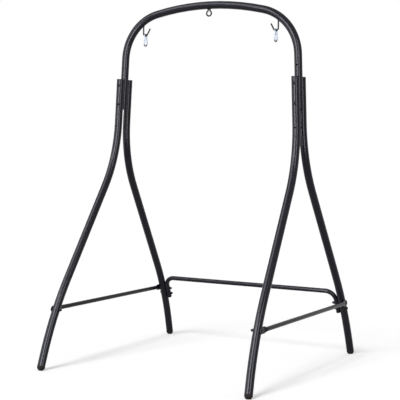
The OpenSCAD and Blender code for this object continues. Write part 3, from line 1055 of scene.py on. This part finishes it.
@dataclass
class SideBrace:
    """A straight tube whose ends are pressed flat and rounded.

    The tongues are drawn a little too thick and then pressed flat, also over a share of the taper.
    """

    sizes: FrameSizes
    side: Side
    rings: int = 10
    too_thick: float = 1.15
    pressed_taper: float = 0.3
    tip_angles: tuple[int, ...] = (0, 20, 38, 54, 68, 80)
    tip_narrow: float = 0.3
    seam: float = 0.01

    def half(self) -> BMesh:
        """The rear half of the brace, along +Y from its middle, flat across X.

        Returns:
            The mesh, open at the middle.
        """
        s = self.sizes
        bm = bmesh.new()
        reach = s.leg_y(s.brace_h)
        run = TubeRun(bm, turn(-90, "X"), s.brace_d / 2)
        run.straight(reach - s.tongue_flat - s.tongue_taper)
        wide, thin = s.tongue_w / s.brace_d, s.tongue_t / s.brace_d
        last_w, last_t = 1.0, 1.0
        for i in range(1, self.rings + 1):
            part = i / self.rings
            ease = part * part * (3 - 2 * part)
            run.straight(s.tongue_taper / self.rings)
            now_w, now_t = 1 + (wide - 1) * ease, 1 + (thin * self.too_thick - 1) * ease
            bmesh.ops.scale(bm, vec=(now_t / last_t, 1, now_w / last_w), verts=run.verts)
            last_w, last_t = now_w, now_t
        run.straight(s.tongue_flat)
        for before, angle in zip(self.tip_angles, self.tip_angles[1:]):
            run.straight(s.tongue_w / 2 * (sin_deg(angle) - sin_deg(before)))
            now_w = wide * cos_deg(angle)
            bmesh.ops.scale(bm, vec=(1, 1, now_w / last_w), verts=run.verts)
            last_w = now_w
        run.straight(s.tongue_w / 2 * (1 - sin_deg(self.tip_angles[-1])))
        bmesh.ops.scale(bm, vec=(1, 1, self.tip_narrow), verts=run.verts)
        bmesh.ops.contextual_create(bm, geom=run.ring)
        flat_from = reach - s.tongue_flat - s.tongue_taper * self.pressed_taper
        for vert in bm.verts:
            if vert.co.y > flat_from:
                vert.co.x = max(-s.tongue_t / 2, min(s.tongue_t / 2, vert.co.x))
        return bm

    def build(self) -> None:
        """Mirrors the half, drills both tongues and seats the brace outside the legs."""
        s = self.sizes
        bm = self.half()
        bmesh.ops.mirror(bm, geom=[*bm.verts, *bm.edges, *bm.faces], axis="Y", merge_dist=self.seam)
        reach = s.leg_y(s.brace_h)
        places = [move(0, row.value * reach, 0) @ turn(90, "Y") for row in Row]
        bm = drill(outward(bm), s.hole_d, s.tongue_w, places)
        seat = s.side(self.side) @ move(s.tube_r + s.seat_gap + s.tongue_t / 2, 0, s.brace_h)
        bmesh.ops.transform(bm, matrix=seat, verts=bm.verts)
        name = self.side.label
        put(outward(bm), f"{name}_brace_tube", POWDER_COAT, "frame", f"{name}_side_brace")


@dataclass
class CrossBar:
    """The rear bar, bent down along the inside of the rear legs."""

    sizes: FrameSizes

    def build(self) -> None:
        """Bends the bar, drills its ends and plugs them."""
        s = self.sizes
        tilt = math.degrees(math.atan2(math.tan(math.radians(s.bar_slope)), cos_deg(s.lean)))
        lean = math.degrees(math.asin(sin_deg(s.lean) * cos_deg(s.bar_slope)))
        bolt_x = s.foot_span / 2 - s.bar_off * cos_deg(s.lean) - s.brace_h * sin_deg(s.lean)
        bolt_z = s.brace_h * cos_deg(s.lean) - s.bar_off * sin_deg(s.lean)
        below = s.bar_pitch / cos_deg(s.bar_slope) + s.bar_tail
        above = (s.bar_rise - s.bar_bend_r * (1 - sin_deg(lean))) / cos_deg(lean)
        top_x = bolt_x - above * sin_deg(lean) - s.bar_bend_r * cos_deg(lean)
        steps = [
            Step(below + above, s.bar_bend_r, 90 - lean),
            Step(2 * top_x, s.bar_bend_r, 90 - lean),
            Step(below + above),
        ]
        bolt = move(0, s.leg_y(s.brace_h), bolt_z) @ turn(tilt, "X") @ move(bolt_x, 0, 0)
        end = bolt @ turn(-lean, "Y") @ move(0, 0, -below)
        tube = hollow_tube(steps, end, s.bar_d, s.bar_wall)
        places = [
            s.side(side) @ move(-s.bar_off, s.leg_y(h), h) @ turn(90, "Y")
            for side in Side for h in (s.brace_h, s.bar_low_h)
        ]
        put(drill(tube, s.hole_d, s.bar_d, places), "cross_bar_tube", POWDER_COAT, "frame", "rear_cross_bar")
        plugs = EndPlug(s, s.bar_d, s.bar_wall).at([mirror(side) @ end @ turn(180, "X") for side in Side])
        put(plugs, "cross_bar_caps", PLUG_PLASTIC, "frame", "cross_bar_plugs")


@dataclass
class Fastenings:
    """Bolts with socket heads, cap nuts and saddle washers."""

    sizes: FrameSizes
    head_d: float = 15.0
    head_h: float = 4.4
    rim_h: float = 0.5
    rim_inset: float = 0.15
    point: float = 0.8
    socket_af: float = 5.0
    socket_depth: float = 2.6
    nut_af: float = 13.0
    nut_hex_h: float = 6.5
    nut_chamfer: float = 0.7
    nut_dome_h: float = 6.0
    nut_dome_d: float = 12.2
    nut_grip: float = 9.0
    thread_gap: float = 0.2
    blind_gap: float = 0.6
    washer_d: float = 17.0
    washer_wrap: float = 1.4
    washer_edge: float = 0.4
    saddle_sides: int = 96
    dome_points: int = 10

    def bolt(self, grip: float) -> BMesh:
        """A bolt along +Z from the underside of its head.

        Args:
            grip: distance from the head to the nut.

        Returns:
            The closed mesh.
        """
        r, rim = self.head_d / 2, self.head_d / 2 - self.rim_inset
        dome_r = (self.head_h ** 2 + r ** 2) / (2 * self.head_h)
        edge = -math.degrees(math.asin((dome_r - self.head_h + self.rim_h) / dome_r))
        shank = self.sizes.bolt_d / 2
        end = grip + self.nut_grip
        profile = [
            *arc(dome_r - self.head_h, dome_r, -90, edge, self.dome_points),
            (rim, self.rim_inset - self.rim_h), (rim, 0.0), (shank, 0.0),
            (shank, end - self.point), (shank - self.point, end), (0.0, end),
        ]
        low, high = -self.head_h - LAP, self.socket_depth - self.head_h
        return carve(lathe(profile), rod(over_corners(self.socket_af), low, high, HEX_SIDES))

    def cap_nut(self) -> BMesh:
        """A cap nut standing on the origin along +Z.

        Returns:
            The closed mesh.
        """
        corner, flat, high = over_corners(self.nut_af), self.nut_af / 2, self.nut_hex_h
        barrel = lathe([
            (0.0, 0.0), (flat, 0.0), (corner / 2, self.nut_chamfer),
            (corner / 2, high - self.nut_chamfer), (flat, high), (0.0, high),
        ])
        body = carve(rod(corner, 0.0, high, HEX_SIDES), barrel, Carving.KEEP_COMMON)
        r = self.nut_dome_d / 2
        dome_r = (self.nut_dome_h ** 2 + r ** 2) / (2 * self.nut_dome_h)
        top = high + self.nut_dome_h
        edge = math.degrees(math.asin((high - top + dome_r) / dome_r))
        skin = arc(top - dome_r, dome_r, edge, 90, self.dome_points)
        dome = lathe([(0.0, high - LAP), (r, high - LAP), *skin])
        bore = rod(self.sizes.bolt_d + self.thread_gap, -LAP, self.nut_grip + self.blind_gap)
        return carve(carve(body, dome, Carving.JOIN), bore)

    def washer(self, tube_d: float) -> BMesh:
        """A saddle washer, its seat at the origin facing -Z, hollowed for a tube along X.

        Args:
            tube_d: diameter of the tube.

        Returns:
            The closed mesh.
        """
        t, edge = self.sizes.washer_t, self.washer_edge
        deep = t + self.washer_wrap
        r, hole = self.washer_d / 2, self.sizes.hole_d / 2
        disc = lathe([(hole, 0.0), (r - edge, 0.0), (r, edge), (r, deep), (hole, deep), (hole, 0.0)])
        bar = rod(tube_d, -self.washer_d, self.washer_d, self.saddle_sides)
        return carve(disc, copies(bar, [move(0, 0, t + tube_d / 2) @ turn(90, "Y")]))

    def along_joint(self, row: Row) -> list[Matrix]:
        """Places of the joint bolts' front or rear seats, +Z pointing to the rear."""
        s, y = self.sizes, row.value * self.sizes.joint_seat
        return [s.side(side) @ move(0, y, h) @ turn(-90, "X") for side in Side for h in s.bolt_heights]

    def along_side(self, row: Row, height: float, seat: float) -> list[Matrix]:
        """Places of side bolts' seats on both sides, +Z pointing inwards.

        Args:
            row: front or rear legs.
            height: height of the bolts along the side frame.
            seat: distance of the seats outside the leg axes.

        Returns:
            One matrix per side.
        """
        s, y = self.sizes, row.value * self.sizes.leg_y(height)
        return [s.side(side) @ move(seat, y, height) @ turn(-90, "Y") for side in Side]

    def build(self) -> None:
        """Places every bolt, nut and washer."""
        s = self.sizes
        tongue = s.tube_r + s.seat_gap + s.tongue_t
        leg = s.tube_r + s.washer_t
        bar = s.bar_off + s.bar_d / 2 + s.washer_t
        bolts = {
            "joint_bolts": (self.along_joint(Row.FRONT), 2 * s.joint_seat),
            "front_brace_bolts": (self.along_side(Row.FRONT, s.brace_h, tongue), tongue + leg),
            "rear_brace_bolts": (self.along_side(Row.REAR, s.brace_h, tongue), tongue + bar),
            "cross_bar_bolts": (self.along_side(Row.REAR, s.bar_low_h, leg), leg + bar),
        }
        for node, (places, grip) in bolts.items():
            put(copies(self.bolt(grip), places), f"{node}_socket_head", BLACK_ZINC, "frame", node)
        nuts = {
            "joint_cap_nuts": self.along_joint(Row.REAR),
            "front_brace_nuts": self.along_side(Row.FRONT, s.brace_h, -leg),
            "rear_brace_nuts": self.along_side(Row.REAR, s.brace_h, -bar),
            "cross_bar_nuts": self.along_side(Row.REAR, s.bar_low_h, -bar),
        }
        for node, places in nuts.items():
            put(copies(self.cap_nut(), places), f"{node}_domed", BLACK_ZINC, "frame", node)
        flip = Matrix.Scale(-1, 4, (0, 0, 1))
        upright = [p @ turn(90, "Z") for p in self.along_joint(Row.FRONT)]
        upright += [p @ flip @ turn(90, "Z") for p in self.along_joint(Row.REAR)]
        washers = copies(self.washer(s.tube_d), upright)
        put(washers, "joint_saddle_washers", BLACK_ZINC, "frame", "joint_washers")
        front, low = s.leg_slope(s.brace_h), -s.leg_slope(s.bar_low_h)
        on_leg = [p @ flip @ turn(front, "Z") for p in self.along_side(Row.FRONT, s.brace_h, -leg)]
        on_leg += [p @ turn(low, "Z") for p in self.along_side(Row.REAR, s.bar_low_h, leg)]
        seats = [p for h in (s.brace_h, s.bar_low_h) for p in self.along_side(Row.REAR, h, -bar)]
        on_bar = [p @ flip @ turn(-s.bar_slope, "Z") for p in seats]
        washers = copies(self.washer(s.tube_d), on_leg)
        extra = stored(copies(self.washer(s.bar_d), on_bar), "bar_washers")
        washers.from_mesh(extra)
        bpy.data.meshes.remove(extra)
        put(washers, "side_saddle_washers", BLACK_ZINC, "frame", "side_washers")


@dataclass
class HangingWire:
    """The welded hooks and the eye under the arch."""

    sizes: FrameSizes
    gear: GearSizes
    tip_angles: tuple[int, ...] = (0, 25, 48, 66, 80)
    bead_d: float = 3.4
    bead_sides: int = 12
    bead_steps: int = 40
    bead_height: float = 0.75
    ripple_height: float = 0.12
    ripples: int = 16
    hook_bead_out: float = 0.6
    eye_bead_out: float = 0.4
    eye_bead_stretch: float = 1.05
    eye_bead_drop: float = 0.3

    def arch_solid(self) -> BMesh:
        """The arch as a filled bar, for trimming what is welded to it."""
        s = self.sizes
        return solid_wire(s.arch_steps, s.arch_start, s.tube_d)

    def bead(self, across: float, along: float) -> BMesh:
        """A weld bead: a low rippled ring lying in the XY plane.

        Args:
            across: radius of the ring.
            along: stretch of the ring along X.

        Returns:
            The closed mesh.
        """
        bm = bmesh.new()
        run = TubeRun(bm, move(across, 0, 0) @ turn(90, "X"), self.bead_d / 2, self.bead_sides)
        spin_round(bm, run.verts + run.ring, self.bead_steps)
        for vert in bm.verts:
            ripple = math.sin(self.ripples * math.atan2(vert.co.y, vert.co.x))
            vert.co.z *= self.bead_height + self.ripple_height * ripple
        bmesh.ops.scale(bm, vec=(along, 1, 1), verts=bm.verts)
        return outward(bm)

    def hook(self, side: Side) -> None:
        """Bends one open hook, trims it to the arch and welds it.

        Args:
            side: left or right.
        """
        s, g = self.sizes, self.gear
        r = g.hook_wire / 2
        axis_z, fall = s.arch_over(g.hook_x)
        start = move(g.hook_x, 0, axis_z) @ turn(180, "X")
        steps = [Step(g.hook_drop - g.hook_bend_r, g.hook_bend_r, 180 - g.hook_tip_angle), Step(g.hook_tip)]
        wire = bmesh.new()
        run = TubeRun(wire, start, r, WIRE_SIDES).follow(steps)
        bmesh.ops.contextual_create(wire, geom=run.first)
        for before, angle in zip(self.tip_angles, self.tip_angles[1:]):
            run.straight(r * (sin_deg(angle) - sin_deg(before)))
            shrink = cos_deg(angle) / cos_deg(before)
            about = Matrix.Translation(-run.at.translation)
            bmesh.ops.scale(wire, vec=(shrink,) * 3, verts=run.verts, space=about)
        bmesh.ops.contextual_create(wire, geom=run.ring)
        wire = carve(outward(wire), self.arch_solid())
        name = side.label
        put(copies(wire, [mirror(side)]), f"{name}_hook_wire", POWDER_COAT, "frame", f"{name}_hook")
        low = axis_z - s.tube_r / cos_deg(fall)
        seat = mirror(side) @ move(g.hook_x, 0, low) @ turn(fall, "Y")
        bead = self.bead(r + self.hook_bead_out, 1 / cos_deg(fall))
        put(copies(bead, [seat]), f"{name}_hook_weld", POWDER_COAT, "frame")

    def eye(self) -> None:
        """Bends the eye, a ring with a short neck, trims it to the crown and welds it."""
        s, g = self.sizes, self.gear
        r = (g.eye_bore + g.eye_wire) / 2
        under = s.height - s.tube_d
        centre = under - g.eye_drop + r + g.eye_wire / 2
        half, both = (g.eye_wire + g.eye_gap) / 2, r + g.eye_neck_r
        whole = math.acos((half + g.eye_neck_r) / math.hypot(both, g.eye_flat))
        flare = math.degrees(whole - math.atan2(g.eye_flat, both))
        top = under + s.tube_r / 2
        arm = top - centre - both * sin_deg(flare) - g.eye_flat * cos_deg(flare)
        steps = [
            Step(arm, g.eye_neck_r, -flare),
            Step(g.eye_flat, r, 180 + 2 * flare),
            Step(g.eye_flat, g.eye_neck_r, -flare),
            Step(arm),
        ]
        wire = solid_wire(steps, move(-half, 0, top) @ turn(180, "Y"), g.eye_wire)
        put(carve(wire, self.arch_solid()), "center_eye_wire", POWDER_COAT, "frame", "center_eye")
        seats = [move(x, 0, under - self.eye_bead_drop) for x in (-half, half)]
        bead = self.bead(g.eye_wire / 2 + self.eye_bead_out, self.eye_bead_stretch)
        put(copies(bead, seats), "center_eye_weld", POWDER_COAT, "frame")

    def build(self) -> None:
        """Makes both hooks and the eye."""
        for side in Side:
            self.hook(side)
        self.eye()


@dataclass
class SnapLink:
    """A pear-shaped snap link with a sprung gate."""

    gear: GearSizes
    side: Side
    tang_lap: float = 0.5
    knuckle_proud: float = 1e-3
    lip_inset: float = 0.04
    bow_pin_gap: float = 0.1
    gate_pin_gap: float = 0.04
    gate_edge: float = 0.4
    gate_sides: int = 40
    gate_points: int = 12
    spring_gap: float = 0.4

    def pivot_bar(self, diameter: float, reach: float, sides: int = WIRE_SIDES) -> BMesh:
        """A bar across the link at the gate's pivot, reaching as far to both sides."""
        place = move(0, 0, -self.gear.gate_pivot) @ turn(90, "X")
        return copies(rod(diameter, -reach, reach, sides), [place])

    def bow(self) -> BMesh:
        """The bent wire with its tang and nose, in the frame of the gate line.

        Returns:
            The closed mesh.
        """
        g = self.gear
        r, half_t = g.link_wire / 2, g.tang_t / 2
        shoulder = g.gate_pivot - r - g.gate_gap
        steps = [
            Step(shoulder, g.top_r, 180 - 2 * g.slope),
            Step(g.side_len, g.low_r, 180 + 2 * g.slope),
            Step(g.nose_len),
        ]
        wire = solid_wire(steps, move(0, 0, -shoulder), g.link_wire)
        tang_r = r - g.gate_gap / 2
        tang = block((-tang_r, -half_t, -g.gate_pivot), (tang_r, half_t, self.tang_lap - shoulder))
        knuckle = self.pivot_bar(2 * tang_r, half_t + self.knuckle_proud, TUBE_SIDES)
        wire = carve(carve(wire, tang, Carving.JOIN), knuckle, Carving.JOIN)
        start = g.side_len - g.nose_len
        lip_end = g.lip_len - start
        lip = carve(
            rod(g.link_wire - self.lip_inset, -start - g.nose_len / 2, lip_end),
            block((r - g.lip_t, -r, -start - g.nose_len), (r, r, lip_end + LAP)), Carving.KEEP_COMMON,
        )
        pin = self.pivot_bar(g.pin_d + self.bow_pin_gap, g.link_wire)
        return carve(carve(wire, lip, Carving.JOIN), pin)

    def gate(self) -> BMesh:
        """The round gate with its fork, recess and spring bore, in the frame of the gate line.

        Returns:
            The closed mesh.
        """
        g = self.gear
        d, r, tip, edge = g.link_wire, g.link_wire / 2, -g.gate_tip, self.gate_edge
        end = arc(-g.gate_pivot, r, 0, 90, self.gate_points)
        made = lathe([(0.0, tip), (r - edge, tip), (r, tip + edge), *end], self.gate_sides)
        slot_w = g.tang_t / 2 + g.cheek_gap
        slot_end = -(g.gate_pivot + r + g.gate_gap / 2)
        made = carve(made, block((-d, -slot_w, slot_end), (d, slot_w, LAP)))
        recess_x, recess_z = r - g.lip_t - g.gate_gap, tip + g.lip_len + g.gate_gap
        made = carve(made, block((recess_x, -d, tip - LAP), (d, d, recess_z)))
        made = carve(made, rod(g.spring_d + self.spring_gap, tip + g.spring_end, slot_end + LAP))
        return carve(made, self.pivot_bar(g.pin_d + self.gate_pin_gap, d))

    def build(self) -> None:
        """Places the bow and the gate, and dresses the pin and the spring inside."""
        name = self.side.label
        place = [self.gear.gate_line(self.side)]
        put(copies(self.bow(), place), f"{name}_link_bow", BRIGHT_ZINC, f"{name}_link_body", f"{name}_link")
        put(copies(self.gate(), place), f"{name}_link_gate", BRIGHT_ZINC, f"{name}_gate_body", f"{name}_gate")
        for node in (f"{name}_gate_pin", f"{name}_gate_spring"):
            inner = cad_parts[node]
            inner.data.materials.clear()
            inner.data.materials.append(SPRING_STEEL.material())
            log.info("%s: kept from the frame", node)


@dataclass(frozen=True)
class Card:
    """A bright card in metres and watts, which shows in the gloss and adds no light of its own."""

    name: str
    spot: Triple
    aim: Triple
    size: tuple[float, float]
    watts: float


@dataclass
class Studio:
    """White floor and sky, a wide sun, the cards and the camera."""

    azimuth: float = 28.49
    elevation: float = 2.849
    roll: float = 0.917
    distance_mm: float = 5713.5
    target_mm: Triple = (-35.35, 0.0, 848.4)
    lens_mm: float = 98.346
    sensor_mm: float = 36.0
    sight_m: float = 60.0
    ambient: float = 0.42
    sun_watts: float = 1.8
    sun_width: float = 18.0
    sun_spot: Triple = (-0.3, -3.1, 3.75)
    floor_m: float = 30.0
    floor_colour: str = "#e6e6e6"
    floor_lift: float = 0.34
    card_colour: Triple = (0.93, 0.94, 1.0)
    cards: tuple[Card, ...] = (
        Card("top_card", (-1.95, -2.85, 4.15), (0.0, 0.0, 1.86), (3.0, 3.0), 260.0),
        Card("left_card", (-0.3, -3.5, 1.6), (0.0, 0.0, 1.4), (1.9, 3.2), 410.0),
        Card("far_left_card", (-3.0, -1.9, 1.6), (0.0, 0.0, 1.4), (2.6, 3.2), 80.0),
        Card("right_card", (2.7, -2.25, 1.6), (0.0, 0.0, 1.4), (1.3, 3.2), 165.0),
    )

    def camera(self) -> None:
        """Puts the camera where the photograph was taken from."""
        data = bpy.data.cameras.new("photo_camera")
        data.lens, data.sensor_width, data.clip_end = self.lens_mm, self.sensor_mm, self.sight_m
        eye = linked("photo_camera", data)
        across, ahead = sin_deg(self.azimuth), cos_deg(self.azimuth)
        level, rise = cos_deg(self.elevation), sin_deg(self.elevation)
        back = Vector((across * level, -ahead * level, rise))
        right = Vector((ahead, across, 0.0))
        up = back.cross(right)
        kept, rolled = cos_deg(self.roll), sin_deg(self.roll)
        right, up = right * kept + up * rolled, up * kept - right * rolled
        spot = (Vector(self.target_mm) + back * self.distance_mm) / MM_PER_METRE
        turned = Matrix((right, up, back)).transposed().to_4x4()
        eye.matrix_world = Matrix.Translation(spot) @ turned
        bpy.context.scene.camera = eye

    def floor(self) -> None:
        """Lays the floor: pale paper that takes the shadows and is lifted to plain white for the eye."""
        bm = bmesh.new()
        bmesh.ops.create_grid(bm, x_segments=1, y_segments=1, size=self.floor_m)
        mesh = stored(bm, "studio_floor")
        paper = bpy.data.materials.new("white_paper_floor")
        paper.use_nodes = True
        tree = paper.node_tree
        tree.nodes.clear()
        lift = {"operation": "MULTIPLY", 1: self.floor_lift}
        power = add_node(tree, "ShaderNodeMath", lift, {0: self.seen(tree)})
        matt = add_node(tree, "ShaderNodeBsdfDiffuse", {"Color": linear(self.floor_colour)}, {})
        glow = add_node(tree, "ShaderNodeEmission", {"Color": WHITE}, {"Strength": power.outputs[0]})
        both = add_node(tree, "ShaderNodeAddShader", {}, {0: matt.outputs[0], 1: glow.outputs[0]})
        add_node(tree, "ShaderNodeOutputMaterial", {}, {"Surface": both.outputs[0]})
        mesh.materials.append(paper)
        floor = linked("studio_floor", mesh)

    def seen(self, tree: bpy.types.NodeTree) -> bpy.types.NodeSocket:
        """One for rays from the eye, also by way of gloss or glass, and zero for other light.

        Args:
            tree: the node tree that asks.

        Returns:
            The socket of that value.
        """
        ray = add_node(tree, "ShaderNodeLightPath", {}, {})
        seen = ray.outputs["Is Camera Ray"]
        for kind in ("Is Glossy Ray", "Is Transmission Ray"):
            either = {0: seen, 1: ray.outputs[kind]}
            seen = add_node(tree, "ShaderNodeMath", {"operation": "MAXIMUM"}, either).outputs[0]
        return seen

    def sun(self) -> None:
        """Hangs the key light: a wide sun from the front, which shades the tubes and throws the shadows."""
        data = bpy.data.lights.new("key_sun", "SUN")
        data.energy, data.angle = self.sun_watts, math.radians(self.sun_width)
        self.hang(data, self.sun_spot, (0.0, 0.0, 0.0), False)

    def card(self, card: Card) -> None:
        """Hangs one bright card.

        Args:
            card: the card.
        """
        data = bpy.data.lights.new(card.name, "AREA")
        data.shape, data.energy, data.color = "RECTANGLE", card.watts, self.card_colour
        data.size, data.size_y = card.size
        self.hang(data, card.spot, card.aim, True)

    def hang(self, data: bpy.types.Light, spot: Triple, aim: Triple, gloss: bool) -> None:
        """Puts a lamp in its place, for the gloss alone or for all the rest.

        Args:
            data: the lamp.
            spot: where it hangs, in metres.
            aim: what it points at, in metres.
            gloss: whether it shows in the gloss alone.
        """
        lamp = linked(data.name, data)
        lamp.visible_camera, lamp.visible_diffuse, lamp.visible_glossy = False, not gloss, gloss
        way = Vector(aim) - Vector(spot)
        lamp.matrix_world = Matrix.Translation(spot) @ way.to_track_quat("-Z", "Y").to_matrix().to_4x4()

    def build(self) -> None:
        """Sets up the whole studio."""
        scene = bpy.context.scene
        scene.view_settings.view_transform = "Standard"
        world = bpy.data.worlds.new("studio_air")
        world.use_nodes = True
        tree = world.node_tree
        tree.nodes.clear()
        ends = {"To Min": self.ambient, "To Max": 1.0}
        power = add_node(tree, "ShaderNodeMapRange", ends, {"Value": self.seen(tree)})
        air = add_node(tree, "ShaderNodeBackground", {"Color": WHITE}, {"Strength": power.outputs["Result"]})
        add_node(tree, "ShaderNodeOutputWorld", {}, {"Surface": air.outputs[0]})
        scene.world = world
        self.camera()
        self.floor()
        self.sun()
        for card in self.cards:
            self.card(card)


def main() -> None:
    """Builds every sub-assembly, then the studio."""
    logging.basicConfig(level=logging.INFO, format="%(name)s: %(message)s")
    sizes, gear = FrameSizes(), GearSizes()
    Arch(sizes).build()
    Legs(sizes).build()
    for side in Side:
        SideBrace(sizes, side).build()
    CrossBar(sizes).build()
    Fastenings(sizes).build()
    HangingWire(sizes, gear).build()
    for side in Side:
        SnapLink(gear, side).build()
    Studio().build()


if __name__ == "__main__":
    main()
